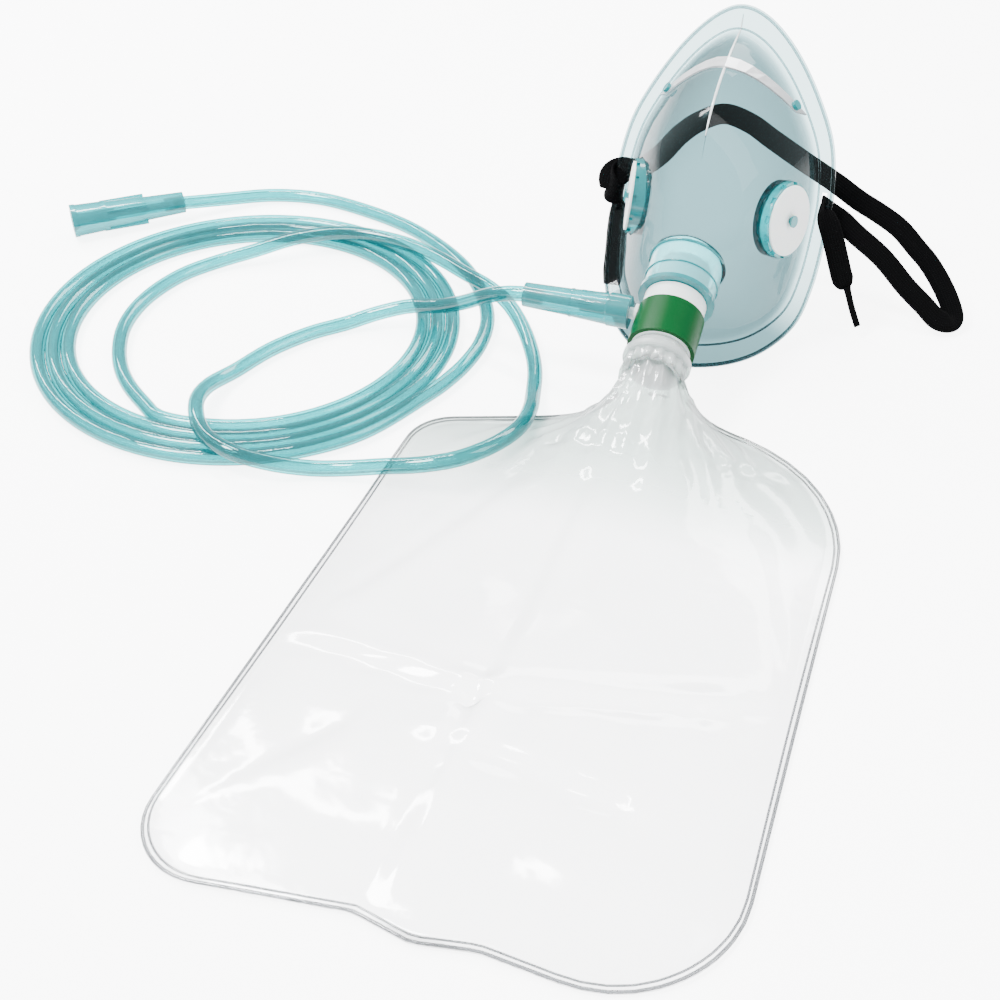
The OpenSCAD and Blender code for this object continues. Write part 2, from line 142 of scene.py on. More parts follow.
class Nodes:
    """A small wrapper that makes shader nodes and joins them."""

    def __init__(self, name):
        self.mat = bpy.data.materials.new(name)
        self.mat.use_nodes = True
        self.tree = self.mat.node_tree
        self.tree.nodes.clear()

    def add(self, kind, links=None, **inputs):
        node = self.tree.nodes.new(kind)
        for key, value in inputs.items():
            setattr(node, key, value)
        for key, value in (links or {}).items():
            if isinstance(value, bpy.types.NodeSocket):
                self.tree.links.new(value, node.inputs[key])
            else:
                node.inputs[key].default_value = value
        return node

    def end(self, shader):
        out = self.add("ShaderNodeOutputMaterial")
        self.tree.links.new(shader, out.inputs["Surface"])
        return self.mat

    def noise(self, scale, detail=3, rough=0.5, stretch=(1, 1, 1)):
        where = self.add("ShaderNodeTexCoord").outputs["Object"]
        moved = self.add("ShaderNodeMapping", {"Vector": where, "Scale": stretch}).outputs[0]
        return self.add("ShaderNodeTexNoise", {
            "Vector": moved, "Scale": scale, "Detail": detail, "Roughness": rough}).outputs["Fac"]

    def ramp(self, fac, low, high, a=0.0, b=1.0):
        return self.add("ShaderNodeMapRange", {
            "Value": fac, "From Min": a, "From Max": b, "To Min": low, "To Max": high}).outputs[0]

    def mix_colour(self, fac, a, b):
        node = self.add("ShaderNodeMix", data_type="RGBA")
        self.tree.links.new(fac, node.inputs[0])
        for socket, value in ((node.inputs[6], a), (node.inputs[7], b)):
            if isinstance(value, bpy.types.NodeSocket):
                self.tree.links.new(value, socket)
            else:
                socket.default_value = (*value, 1)
        return node.outputs[2]

    def bump(self, height, strength, distance):
        return self.add("ShaderNodeBump", {
            "Height": height, "Strength": strength, "Distance": distance}).outputs[0]


def plastic(name, colour, rough=0.3, vary=0.06, grain=900, coat=0.0, under=0.0, shine=0.35):
    """Moulded plastic: a little colour drift, fine grain and uneven gloss."""
    n = Nodes(name)
    drift = n.noise(35, 2)
    base = n.mix_colour(drift, [c * (1 - vary) for c in colour],
                        [min(1, c * (1 + vary)) for c in colour])
    fine = n.noise(grain, 2)
    shader = n.add("ShaderNodeBsdfPrincipled", {
        "Base Color": base, "Roughness": n.ramp(fine, rough * 0.8, rough * 1.25),
        "Normal": n.bump(fine, 0.08, 0.0002), "Specular IOR Level": shine, "Coat Weight": coat,
        "Coat Roughness": 0.08, "Subsurface Weight": under, "Subsurface Scale": 0.002})
    return n.end(shader.outputs[0])


def clear(name, through, edge, haze, haze_colour, rough=0.06, gloss=0.05, bump=0.0, scale=60,
          edge_haze=0.3, zone=None):
    """Clear flexible plastic: tinted see-through, milky toward its edges, with a sharp gloss.

    through and edge are the tint seen face on and edge on. haze is the share of milkiness face on,
    and edge_haze what is added to it edge on. zone is (direction, low, high, tint, milkiness): the
    tint and milkiness that the plastic comes to as the distance along the direction goes from low
    to high, in metres.
    """
    n = Nodes(name)
    wave = n.noise(scale, 3)
    normal = n.bump(wave, bump, 0.002)
    facing = n.add("ShaderNodeLayerWeight", {"Blend": 0.5, "Normal": normal}).outputs["Facing"]
    square = n.add("ShaderNodeMath", {0: facing, 1: 1.8}, operation="POWER").outputs[0]
    tint = n.mix_colour(square, through, edge)
    extra = 0.0
    if zone:
        way, low, high, near, milky = zone
        where = n.add("ShaderNodeTexCoord").outputs["Object"]
        place = n.add("ShaderNodeVectorMath", {0: where, 1: way},
                      operation="DOT_PRODUCT").outputs["Value"]
        into = n.ramp(place, 0, 1, low, high)
        tint = n.mix_colour(into, tint, n.mix_colour(square, near, [c * 0.45 for c in near]))
        extra = n.ramp(into, 0, milky)
    seen = n.add("ShaderNodeBsdfTransparent", {"Color": tint}).outputs[0]
    milk = n.add("ShaderNodeBsdfPrincipled", {
        "Base Color": (*haze_colour, 1), "Roughness": 0.35, "Normal": normal}).outputs[0]
    amount = n.add("ShaderNodeMath", {
        0: n.ramp(square, haze, min(1, haze + edge_haze)),
        1: n.ramp(wave, 0.8, 1.25)}, operation="MULTIPLY")
    amount = n.add("ShaderNodeMath", {0: amount.outputs[0], 1: extra}, operation="ADD")
    body = n.add("ShaderNodeMixShader", {0: amount.outputs[0], 1: seen, 2: milk}).outputs[0]
    shine = n.add("ShaderNodeBsdfGlossy", {
        "Color": (1, 1, 1, 1), "Roughness": rough, "Normal": normal})
    grazing = n.add("ShaderNodeMath", {0: facing, 1: 5.0}, operation="POWER").outputs[0]
    return n.end(n.add("ShaderNodeMixShader", {
        0: n.ramp(grazing, gloss, 0.9), 1: body, 2: shine.outputs[0]}).outputs[0])


def metal(name):
    """Soft aluminium strip with a fine lengthwise grain."""
    n = Nodes(name)
    grain = n.noise(400, 4, 0.6, (0.15, 1, 1))
    base = n.mix_colour(grain, (0.80, 0.82, 0.84), (0.97, 0.97, 0.98))
    shader = n.add("ShaderNodeBsdfPrincipled", {
        "Base Color": base, "Metallic": 0.75, "Roughness": n.ramp(grain, 0.28, 0.46),
        "Normal": n.bump(grain, 0.15, 0.0003)})
    return n.end(shader.outputs[0])


def elastic(name):
    """Knitted black elastic: ribs across the band, from the band's own UVs."""
    n = Nodes(name)
    uv = n.add("ShaderNodeTexCoord").outputs["UV"]
    ribs = n.add("ShaderNodeTexWave", {
        "Vector": uv, "Scale": 330.0, "Distortion": 0.6, "Detail": 1.0},
        bands_direction="X").outputs["Fac"]
    cords = n.add("ShaderNodeTexWave", {
        "Vector": uv, "Scale": 2.6, "Distortion": 0.2}, bands_direction="Y").outputs["Fac"]
    knit = n.add("ShaderNodeMath", {0: ribs, 1: cords}, operation="MULTIPLY").outputs[0]
    base = n.mix_colour(knit, (0.0003, 0.0003, 0.0004), (0.002, 0.002, 0.0025))
    shader = n.add("ShaderNodeBsdfPrincipled", {
        "Base Color": base, "Roughness": 0.9, "Specular IOR Level": 0.06,
        "Normal": n.bump(knit, 0.5, 0.0004)})
    return n.end(shader.outputs[0])


FORWARD = (0, -math.cos(LEAN), math.sin(LEAN))
RIM_PLANE = MM * MASK_BASE.dot(Vector(FORWARD))

MATS = {
    "white_plastic": plastic("white_plastic", (0.90, 0.95, 0.94), 0.28, 0.03, coat=0.3, under=0.15),
    "green_plastic": plastic("green_plastic", (0.0, 0.065, 0.014), 0.32, 0.25, shine=0.12),
    "valve_disc": plastic("valve_disc", (0.95, 0.97, 0.95), 0.45, 0.02, under=0.2),
    "teal_plastic": clear("teal_plastic", (0.03, 0.60, 0.63), (0.0, 0.14, 0.16),
                          0.5, (0.0, 0.31, 0.33), bump=0.08),
    "tube_pvc": clear("tube_pvc", (0.22, 0.71, 0.72), (0.01, 0.22, 0.24),
                      0.06, (0.0, 0.46, 0.49), bump=0.05),
    "pale_collar": clear("pale_collar", (0.34, 0.80, 0.83), (0.02, 0.29, 0.33),
                         0.4, (0.34, 0.86, 0.90), gloss=0.06, bump=0.05),
    # The mask's clear plastic. Its zone tints the dome, forward of the rim plane, a darker grey-teal
    # than the flange: painted shade over the dome.
    "clear_pvc": clear("clear_pvc", (0.56, 0.65, 0.66), (0.03, 0.12, 0.14),
                       0.002, (0.4, 0.7, 0.72), gloss=0.012, bump=0.16, scale=34, edge_haze=0.05,
                       zone=(FORWARD, RIM_PLANE + 0.001, RIM_PLANE + 0.012, (0.255, 0.35, 0.365), 0.0)),
    "bag_film": clear("bag_film", (0.985, 0.985, 0.987), (0.34, 0.36, 0.37),
                      0.03, (0.88, 0.90, 0.91), rough=0.1, gloss=0.08, bump=0.18, scale=42,
                      edge_haze=0.15, zone=((0, 1, 0), 0.065, 0.122, (0.70, 0.80, 0.76), 0.42)),
    "weld_edge": clear("weld_edge", (0.40, 0.41, 0.42), (0.08, 0.08, 0.09),
                       0.05, (0.6, 0.62, 0.64), rough=0.1, gloss=0.08),
    # Milky white for the raised line down the nose ridge: a painted highlight.
    "ridge_highlight_white": clear("ridge_highlight_white", (0.9, 0.95, 0.95), (0.7, 0.8, 0.8),
                          0.8, (0.95, 1.0, 1.0), gloss=0.08),
    "aluminium_strip": metal("aluminium_strip"),
    "black_elastic": elastic("black_elastic"),
}


def dress(obj, slot):
    obj.data.materials.clear()
    obj.data.materials.append(MATS[slot])


# ---------------------------------------------------------------- camera

def make_camera():
    """Looks down on the set from the bag's right."""
    cam = bpy.data.objects.new("camera", bpy.data.cameras.new("camera"))
    bpy.context.scene.collection.objects.link(cam)
    turn, drop = math.radians(18), math.radians(40.3)
    ahead = Vector((-math.sin(turn) * math.cos(drop), math.cos(turn) * math.cos(drop),
                    -math.sin(drop)))
    cam.location = (0.0989, -0.3762, 0.400)
    cam.rotation_euler = ahead.to_track_quat("-Z", "Y").to_euler()
    cam.data.lens, cam.data.sensor_width = 54, 36
    cam.data.clip_start, cam.data.clip_end = 0.01, 20
    bpy.context.scene.camera = cam


# ---------------------------------------------------------------- supply tube

# The tube's bore has five lobes, which keep it open where the tube is bent
BORE_R, LOBE, TUBE_SIDES = 2.1, 0.4, 20
COIL_AT = Vector((-197, 154, 3.6))
COIL_R0, COIL_PITCH = 79, 7.05
COIL_START, COIL_SWEEP, COIL_STEP = -95, 360 * 3 + 75, 15
# The tube's middle line before and after the coil, with Y counted from the port
ROUTE_IN = [
    (-58, 17.1, 38.6), (-66, 17.1, 38.6), (-75, 17.5, 37), (-86, 20.5, 31.5), (-98, 25, 23),
    (-112, 29.5, 15.5), (-127, 31, 11.5), (-142, 27, 7), (-155, 19, 3.6), (-168, 6, 3.6),
    (-180, -12, 3.6), (-188, -32, 3.6), (-192, -52, 7.5), (-188, -70, 11), (-176, -87, 11.4),
    (-160, -95, 11.2), (-143, -93, 7.5), (-127, -87, 4), (-111, -83, 5), (-96, -82, 9),
    (-80, -81, 13), (-65, -75, 15.6), (-54, -61, 15.4), (-49, -44, 13), (-50, -26, 9),
    (-54, -8, 4.4), (-58, 8, 3.6), (-64, 23, 3.8), (-73, 38, 6), (-84, 50, 9.6),
    (-97, 59, 11.4), (-112, 67, 11.4), (-128, 76, 11.4), (-145, 83, 11.4), (-160, 86, 11.4),
    (-175, 86, 11.4), (-190, 82, 11.2), (-206, 73, 10), (-222, 62, 6.5), (-237, 51, 3.9),
    (-248, 36, 3.6), (-254, 19, 3.6), (-256, 2, 3.6), (-254, -15, 3.6), (-248, -31, 3.6),
    (-239, -46, 3.6), (-228, -58, 3.6), (-215, -68, 3.6),
]
ROUTE_OUT = [
    (-98.5, -22, 3.6), (-94, -10, 3.6), (-90.5, 4, 3.6), (-89, 22, 3.6), (-92, 42, 3.6),
    (-101, 62, 3.6), (-116, 82, 3.6), (-136, 99, 3.6), (-160, 113, 3.6), (-188, 122, 3.6),
    (-215, 126, 3.6), (-240, 121, 3.8), (-260, 107, 5.5), (-273, 95, 7.8), (-281, 88.7, 8.8),
]


def coil_points():
    """Three turns and a part, each outside the last."""
    for k in range(COIL_SWEEP // COIL_STEP):
        a = COIL_START + COIL_STEP * k
        r = COIL_R0 + COIL_PITCH * (a - COIL_START) / 360
        yield COIL_AT + Vector((r * math.cos(math.radians(a)), r * math.sin(math.radians(a)), 0))


def make_tube():
    """The tube in one piece, from the plug, through the coil, to the far connector."""
    rel = Vector((0, PORT.y, 0))
    route = [Vector(p) + rel for p in ROUTE_IN] + list(coil_points())
    route += [Vector(p) + rel for p in ROUTE_OUT]
    line = even(spline(route, 6), 5)
    bore = round_rings(line, lambda a: BORE_R + LOBE * math.cos(5 * a), TUBE_SIDES)
    outside = round_rings(line, lambda a: TUBE_R, TUBE_SIDES)
    tube = loft("supply_tube_run", [bore[0]] + outside + list(reversed(bore)), caps=False)
    dress(tube, "tube_pvc")
    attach(tube, "supply_line")
    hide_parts("supply_tube", "tube_coil", "supply_tube_tail")


make_camera()
make_tube()


# ---------------------------------------------------------------- mask shell

RIM_HALF = [
    (0, 32.5, -17), (20, 30, -14), (36, 20, -7), (48, 8, 6), (52.5, 2, 24), (54, 0, 46),
    (54, 0, 66), (50, 0, 88), (40, 0, 108), (27, 0, 126), (13, 0, 138.5), (0, 0, 143),
]
DEPTH, CENTRE, WALL = 54, 56, 1.5
# The left half is pressed in to this share of the right half's width
LEFT_IN = 0.86
# The dome ends and the flat flange begins at this share of the way out
FLANGE_AT = 0.88
NOSE_LOW, NOSE_LONG, NOSE_RISE = 68, 66, 7
VALVE_HOLE_R, PORT_HOLE_R = 17, 16.3
SLOT_PLACES, SLOT_HALF, SLOT_LONG = ((50.5, 54), (-43.5, 46)), 1.2, 13
HALF = len(RIM_HALF) - 1
RIM = [Vector(p) for p in RIM_HALF]
RIM += [Vector((-LEFT_IN * x, y, z)) for x, y, z in RIM_HALF[-2:0:-1]]


def mask_to_part(p):
    """Across, forward and up the rim plane, to the part's frame."""
    return MASK_BASE + Vector((p[0], -p[1] * math.cos(LEAN) + p[2] * math.sin(LEAN),
                               p[1] * math.sin(LEAN) + p[2] * math.cos(LEAN)))


def rim_point(k):
    """A place on the rim's edge. k counts the points of RIM and may lie between two."""
    i, t = int(math.floor(k)), k - math.floor(k)
    a, b, c, d = (RIM[(i + j) % len(RIM)] for j in (-1, 0, 1, 2))
    return 0.5 * (2 * b + (c - a) * t + (2 * a - 5 * b + 4 * c - d) * t * t
                  + (3 * b - a - 3 * c + d) * t ** 3)


def shell_point(k, f):
    """A place on the shell's outside, the share f of the way from its middle to the rim."""
    p = rim_point(k)
    u, w = p.x * f, CENTRE + f * (p.z - CENTRE)
    dome = DEPTH * (1 - (f / FLANGE_AT) ** 2.4) if f < FLANGE_AT else 0
    along_nose = min(1, max(0, (w - NOSE_LOW) / NOSE_LONG))
    ridge = NOSE_RISE * math.exp(-abs(u) / 10) * max(0, math.sin(math.pi * along_nose))
    return Vector((u, p.y * f * f + dome + ridge, w))


def shell_normal(k, f):
    """The way out of the shell there."""
    df = shell_point(k, min(f + 0.01, 1)) - shell_point(k, max(f - 0.02, 0))
    dk = shell_point(k + 0.15, f) - shell_point(k - 0.15, f)
    n = df.cross(dk).normalized()
    return -n if n.y < 0 else n


def valve_matrix(side):
    """Part-frame place of an exhalation valve, with local Z pointing out of it."""
    place, degrees = ((37, 24.4, 54), 64) if side > 0 else ((-32, 23, 54), 76)
    aside = math.radians(degrees)
    at = mask_to_part(place)
    out = mask_to_part((side * math.sin(aside), math.cos(aside), 0)) - MASK_BASE
    m = out.to_track_quat("Z", "Y").to_matrix().to_4x4()
    m.translation = at * MM
    return m


def cutter(matrix, radius, low, high):
    """A round bar to cut with."""
    ring = [Vector((radius * math.cos(a), radius * math.sin(a), 0)) for a in whole_turn(64)]
    obj = loft("cutter", [[p + Vector((0, 0, z)) for p in ring] for z in (low, high)])
    obj.matrix_world = matrix
    return obj


def cut(obj, cutters):
    bpy.context.view_layer.update()
    for c in cutters:
        m = obj.modifiers.new("cut", "BOOLEAN")
        m.object, m.operation, m.solver = c, "DIFFERENCE", "EXACT"
    apply_modifiers(obj)
    for c in cutters:
        bpy.data.objects.remove(c)


def make_mask():
    """The dome and flange in one wall, cut for the port, the valves and the strap."""
    per = 8
    steps = [k / per for k in range(len(RIM) * per)]
    fs = [0.03] + [0.06 + 0.82 * i / 22 for i in range(23)] + [0.895, 0.93, 0.97, 0.99, 1.0]
    outer = [[mask_to_part(shell_point(k, f)) for k in steps] for f in fs]
    inner = [[mask_to_part(shell_point(k, f) - WALL * shell_normal(k, f)) for k in steps]
             for f in reversed(fs)]
    shell = loft("mask_dome", [list(reversed(r)) for r in outer + inner])
    port = AXIS.to_track_quat("Z", "Y").to_matrix().to_4x4()
    port.translation = PORT * MM
    tools = [cutter(port, PORT_HOLE_R, 20, 80)]
    tools += [cutter(valve_matrix(side), VALVE_HOLE_R, -14, 16) for side in (-1, 1)]
    slot = ((-SLOT_HALF, 0), (SLOT_HALF, 0), (SLOT_HALF, SLOT_LONG), (-SLOT_HALF, SLOT_LONG))
    for u, w in SLOT_PLACES:
        ends = [[mask_to_part((u + a, n, w + b)) for a, b in slot] for n in (-20, 20)]
        tools.append(loft("cutter", ends))
    cut(shell, tools)
    for p in shell.data.polygons:
        p.use_smooth = True
    dress(shell, "clear_pvc")
    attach(shell, "mask")
    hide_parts("mask_shell")


def bead(name, pts, radius, slot):
    """A fine round bead round a closed line of points, on the mask."""
    rings, n = [], len(pts)
    for i, p in enumerate(pts):
        t = (pts[(i + 1) % n] - pts[i - 1]).normalized()
        s = t.orthogonal().normalized() if i == 0 else (side - t * side.dot(t)).normalized()
        side, up = s, t.cross(s)
        rings.append([p + radius * (math.cos(a) * s + math.sin(a) * up) for a in whole_turn(8)])
    obj = loft(name, rings + [rings[0]], caps=False)
    dress(obj, slot)
    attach(obj, "mask")


def make_beads():
    """The rim's rolled edge, the fold where the dome meets it, and the seams round the collar."""
    steps = [k / 6 for k in range(len(RIM) * 6)]
    for name, f, off, radius in (("mask_rim_edge", 0.997, -WALL / 2, 1.0),
                                 ("mask_fold_line", 0.885, 0.1, 0.5)):
        line = [mask_to_part(shell_point(k, f) + off * shell_normal(k, f)) for k in steps]
        bead(name, line, radius, "clear_pvc")
    across, out = Vector((1, 0, 0)), Vector((0, -math.sin(TILT), math.cos(TILT)))
    for name, s, r, radius in (("collar_seam_low", 38, 16.35, 0.35),
                               ("collar_seam_high", 49.5, 16.9, 0.6)):
        line = [PORT + AXIS * s + r * (math.cos(a) * across + math.sin(a) * out)
                for a in whole_turn(72)]
        bead(name, line, radius, "teal_plastic")


def make_ridge_highlight():
    """A thin raised line down the nose ridge, from near the top of the rim into the dome, in a milky
    white that is a painted highlight along the ridge.
    """
    count = 48
    line = []
    for i in range(count + 1):
        f = 0.96 - 0.62 * i / count
        line.append(mask_to_part(shell_point(HALF, f) - 0.2 * shell_normal(HALF, f)))
    rings = []
    for i, (p, s, u) in enumerate(frames(line)):
        r = 0.12 + 0.5 * math.sin(math.pi * i / count) ** 0.6
        rings.append([p + r * (math.cos(a) * s + math.sin(a) * u) for a in whole_turn(10)])
    obj = loft("mask_ridge_highlight", rings)
    dress(obj, "ridge_highlight_white")
    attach(obj, "mask")


make_mask()
make_beads()
make_ridge_highlight()


# ---------------------------------------------------------------- strap

STRAP_WIDE, STRAP_THICK = 10, 1.2
STRAP = [
    ((68, 89.3, 24.6), (0.3, -0.9, 0.3)), ((65, 90, 30), (0.3, -0.9, 0.3)),
    ((60.5, 92, 41), (0.3, -0.9, 0.3)), ((56.5, 94.3, 50), (0.4, -0.9, 0.2)),
    ((52.4, 96, 57), (0.8, -0.5, 0.1)), ((50.5, 98, 59), (1, 0, 0)), ((50.5, 103.3, 56.6), (1, 0, 0)),
    ((54, 106, 53), (0.7, -0.5, 0.4)), ((60, 105, 50), (0.24, -0.73, 0.65)),
    ((67, 104, 45), (0.24, -0.73, 0.65)), ((81, 107, 33), (0.24, -0.73, 0.65)),
    ((94, 106, 20.5), (0.24, -0.73, 0.65)), ((104, 105, 12.5), (0.24, -0.73, 0.65)),
    ((111, 103, 7.5), (0.24, -0.73, 0.65)), ((117, 105, 5.8), (0.24, -0.73, 0.65)),
    ((118, 110, 7), (0.24, -0.73, 0.65)), ((112, 117, 15), (0.24, -0.73, 0.65)),
    ((103, 123, 24), (0.24, -0.73, 0.65)), ((95, 123, 32), (0.24, -0.73, 0.65)),
    ((86, 124, 40), (0.24, -0.73, 0.65)), ((76, 124, 46), (0.24, -0.73, 0.65)),
    ((65, 123, 52), (0.24, -0.73, 0.65)), ((54, 126, 57), (0.24, -0.73, 0.65)),
    ((45, 131, 59), (0.24, -0.73, 0.65)), ((34, 136, 62), (0.24, -0.73, 0.65)),
    ((19, 142, 67), (0.24, -0.73, 0.65)), ((7, 147, 71), (0.24, -0.73, 0.65)),
    ((-6, 149, 73), (0.24, -0.73, 0.65)), ((-17, 146, 69), (0.24, -0.73, 0.65)),
    ((-25, 139, 64), (0.24, -0.73, 0.65)), ((-32, 129, 57), (0.3, -0.7, 0.6)),
    ((-39, 117, 55), (0.6, -0.6, 0.4)), ((-45.5, 107.5, 58), (1, -0.3, 0.2)),
    ((-48.8, 101, 57.5), (1, 0.2, 0)), ((-48.4, 95.5, 55), (0.6, 0.8, 0)),
    ((-45.6, 92.8, 52.8), (-0.3, 1, 0)), ((-43.5, 94.5, 51.9), (-1, 0.2, 0)),
    ((-43.5, 99.9, 49.3), (-1, 0, 0)), ((-43.8, 101.2, 45.5), (-0.8, -0.5, 0.2)),
    ((-44, 99.5, 40), (-0.2, -0.9, 0.4)), ((-43.6, 95, 33), (0, -0.9, 0.4)),
    ((-43, 91, 24.5), (0, -0.9, 0.4)), ((-42.6, 87, 16), (0, -0.9, 0.4)),
    ((-42.2, 83.5, 8.5), (0, -0.9, 0.4)),
]
TIP = [((68, 89.3, 25.5), (0.3, -0.9, 0.3)), ((72, 88.5, 15), (0.3, -0.9, 0.3)),
       ((76, 88, 6), (0.3, -0.9, 0.3))]
FOLD = [((-40, 105, 61), (0.2, -0.7, 0.7)), ((-45, 102, 60), (0.1, -0.7, 0.7)),
        ((-48.6, 98, 58), (-0.2, -0.7, 0.6)), ((-49.2, 95, 53), (-0.4, -0.8, 0.3))]


def band(name, path, width, thick, per=8):
    """A flat band with rounded edges, and UVs that run along and across it.

    path holds each point, with Y counted from the port, and the way that the band's face looks there.
    """
    pts = spline([Vector(p) + Vector((0, PORT.y, 0)) for p, _ in path], per)
    ways = spline([Vector(w).normalized() for _, w in path], per)
    rim = [(-0.5, -0.2), (-0.44, -0.5), (-0.15, -0.5), (0.15, -0.5), (0.44, -0.5), (0.5, -0.2),
           (0.5, 0.2), (0.44, 0.5), (0.15, 0.5), (-0.15, 0.5), (-0.44, 0.5), (-0.5, 0.2)]
    rings = []
    for i, p in enumerate(pts):
        t = tangent(pts, i)
        across = ways[i].cross(t).normalized()
        out = t.cross(across)
        rings.append([p + across * width(i / (len(pts) - 1)) * x + out * thick * y for x, y in rim])
    obj = loft(name, rings)
    run = [0.0]
    for a, b in zip(pts, pts[1:]):
        run.append(run[-1] + (b - a).length * MM)
    uv = obj.data.uv_layers.new(name="band")
    n = len(rim)
    for loop in obj.data.loops:
        uv.data[loop.index].uv = (run[loop.vertex_index // n], rim[loop.vertex_index % n][0])
    return obj


def make_strap():
    """The elastic from its right end, round behind the mask, to its left end, with its thin tip."""
    def width(t):
        tail = 0.42 + 0.58 * min(1, t / 0.018) ** 0.7
        bunch = 1 + 0.5 * math.exp(-((t - 0.785) / 0.022) ** 2)
        return STRAP_WIDE * tail * bunch * (1 - 0.2 * max(0, t - 0.98) / 0.02)

    strap = band("strap_elastic", STRAP, width, STRAP_THICK)
    tip = band("strap_cord_end", TIP, lambda t: 3 + 1.2 * math.exp(-t * 12), 1.6)
    fold = band("strap_fold", FOLD, lambda t: 9 + 5 * math.sin(math.pi * t), 1.4)
    pieces = ((strap, ("strap_band", "strap_end_left")), (tip, ("strap_tip_right",)), (fold, ()))
    for obj, nodes in pieces:
        dress(obj, "black_elastic")
        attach(obj, "mask")
        if nodes:
            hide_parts(*nodes)


make_strap()


# ---------------------------------------------------------------- reservoir bag

# The bag's corners, from the neck: across, along and the radius there
CORNERS = [(-15, -9, 2), (-97, -36, 22), (-111, -290, 25), (-29, -281.5, 5), (-8, -286.5, 12),
           (13, -283, 25), (88, -290, 46), (93, -4, 72), (15, -4, 2)]


def rounded(corners, n=10):
    """The bag's outline, with an arc at each corner."""
    out = []
    for i, (x, y, r) in enumerate(corners):
        p = Vector((x, y))
        u = (Vector(corners[i - 1][:2]) - p).normalized()
        v = (Vector(corners[(i + 1) % len(corners)][:2]) - p).normalized()
        half = u.angle(v) / 2
        mid = p + (u + v).normalized() * r / math.sin(half)
        a, b = p + u * r / math.tan(half) - mid, p + v * r / math.tan(half) - mid
        a0, a1 = math.atan2(a.y, a.x), math.atan2(b.y, b.x)
        sweep = (a1 - a0 + math.pi) % (2 * math.pi) - math.pi
        arc = [a0 + sweep * k / n for k in range(n + 1)]
        out += [mid + r * Vector((math.cos(t), math.sin(t))) for t in arc]
    return out


OUTLINE = rounded(CORNERS)
EDGES = list(zip(OUTLINE, OUTLINE[1:] + OUTLINE[:1]))


def nearest(p, a, b):
    """The place on the line from a to b that is nearest to p."""
    d = b - a
    return a + d * max(0, min(1, (p - a).dot(d) / max(d.length_squared, 1e-9)))


def from_edge(p):
    """Distance from a point to the outline."""
    return min((p - nearest(p, a, b)).length for a, b in EDGES)


def pulled_in(p):
    """The place itself where it's on the bag, or else the nearest place on the outline."""
    inside = False
    for a, b in EDGES:
        if (a.y > p.y) != (b.y > p.y) and p.x < a.x + (b.x - a.x) * (p.y - a.y) / (b.y - a.y):
            inside = not inside
    return p if inside else min((nearest(p, a, b) for a, b in EDGES), key=lambda q: (p - q).length)


# Each fold: its line's ends, its width and its depth
FOLDS = [
    ((-104, -180), (-21, -192), 5, 2.6), ((-21, -192), (60, -172), 6, 2.2),
    ((60, -172), (95, -152), 6, 2.0), ((-14, -70), (-19, -190), 6, 1.8),
    ((-19, -190), (-27, -288), 5, 2.2), ((-21, -213), (40, -222), 8, 1.6),
    ((60, -80), (84, -150), 7, 1.6), ((-40, -70), (-82, -150), 8, 1.2),
    ((-60, -215), (-100, -262), 7, 1.2),
]
NECK_FOLDS = [
    ((-15, -13), (-33, -46), 4, 3.2), ((-33, -46), (2, -54), 4, 2.4),
    ((13, -13), (36, -40), 4, 2.8), ((36, -40), (62, -34), 5, 2.2),
    ((-4, -18), (6, -62), 4, 2.0),
]
PUCKER_AT = Vector((-21, -213))
BAG_MIDDLE = Vector((-8, -150, 0))
# Heights: the film's upper side at its edge, how far it rises inside, and the neck's middle
EDGE_TOP, CROWN, NECK_Z = 1.4, 8.5, 28.7
# Only past this line is the outline hollow, so that a row of film could leave it
HOLLOW_PAST = -265


def fold_height(p, folds):
    """Each fold is a valley with a raised lip on one side."""
    z = 0
    for a, b, width, depth in folds:
        a, b = Vector(a), Vector(b)
        d = b - a
        t = max(0, min(1, (p - a).dot(d) / d.length_squared))
        off = p - a - d * t
        side = math.copysign(off.length, d.x * off.y - d.y * off.x)
        lip = 0.7 * math.exp(-((side - width) / width) ** 2)
        z += depth * (lip - math.exp(-(side / (0.5 * width)) ** 2))
    return z


def film_heights(p):
    """Upper and lower film height at a place on the bag, from the crown, folds and soft waves."""
    d = from_edge(p)
    puff = 1 - math.exp(-max(0, d - 5) / 24)
    wave = noise.fractal(Vector((p.x / 46, p.y / 60, 3.1)), 1.0, 2.0, 2)
    ripple = noise.noise(Vector((p.x / 11, p.y / 17, 9.0)))
    pucker = 1.4 * math.exp(-((p - PUCKER_AT).length / 7) ** 2)
    rise = CROWN + 2.2 * wave + 0.22 * ripple + 0.9 * fold_height(p, FOLDS) + pucker
    return EDGE_TOP + puff * rise, 0.9 - puff * 0.5


def neck_lift(p):
    """How far the film is drawn up toward the connector."""
    along = max(0, -p.y - 8)
    spread = 17 + along * 0.42
    return math.exp(-(p.x / spread) ** 2) * math.exp(-(along / 42) ** 1.6)


def pleats(p):
    """Gathers that fan out from the neck, sharp along their tops."""
    along = max(0, -p.y - 6)
    fan = math.atan2(p.x, along + 26)
    wander = noise.noise(Vector((p.x / 20, p.y / 34, 1.7)))
    rib = 1 - 2 * abs(math.sin(20 * fan + 1.6 * wander + 0.4)) ** 0.8
    return rib * math.exp(-((along - 20) / 34) ** 2) * math.exp(-(fan / 0.85) ** 4)


def outline_sides():
    """The outline split in two, each from the neck to the middle of the far edge."""
    n = len(OUTLINE)
    far = min((i for i in range(n) if OUTLINE[i].y < -250), key=lambda i: abs(OUTLINE[i].x + 10))
    left = OUTLINE[2:far + 1]
    right = list(reversed(OUTLINE[far:n - 2]))
    return left, right


def along_line(pts, t):
    total = sum((b - a).length for a, b in zip(pts, pts[1:]))
    want = t * total
    for a, b in zip(pts, pts[1:]):
        d = (b - a).length
        if want <= d:
            return a.lerp(b, want / max(d, 1e-9))
        want -= d
    return pts[-1].copy()


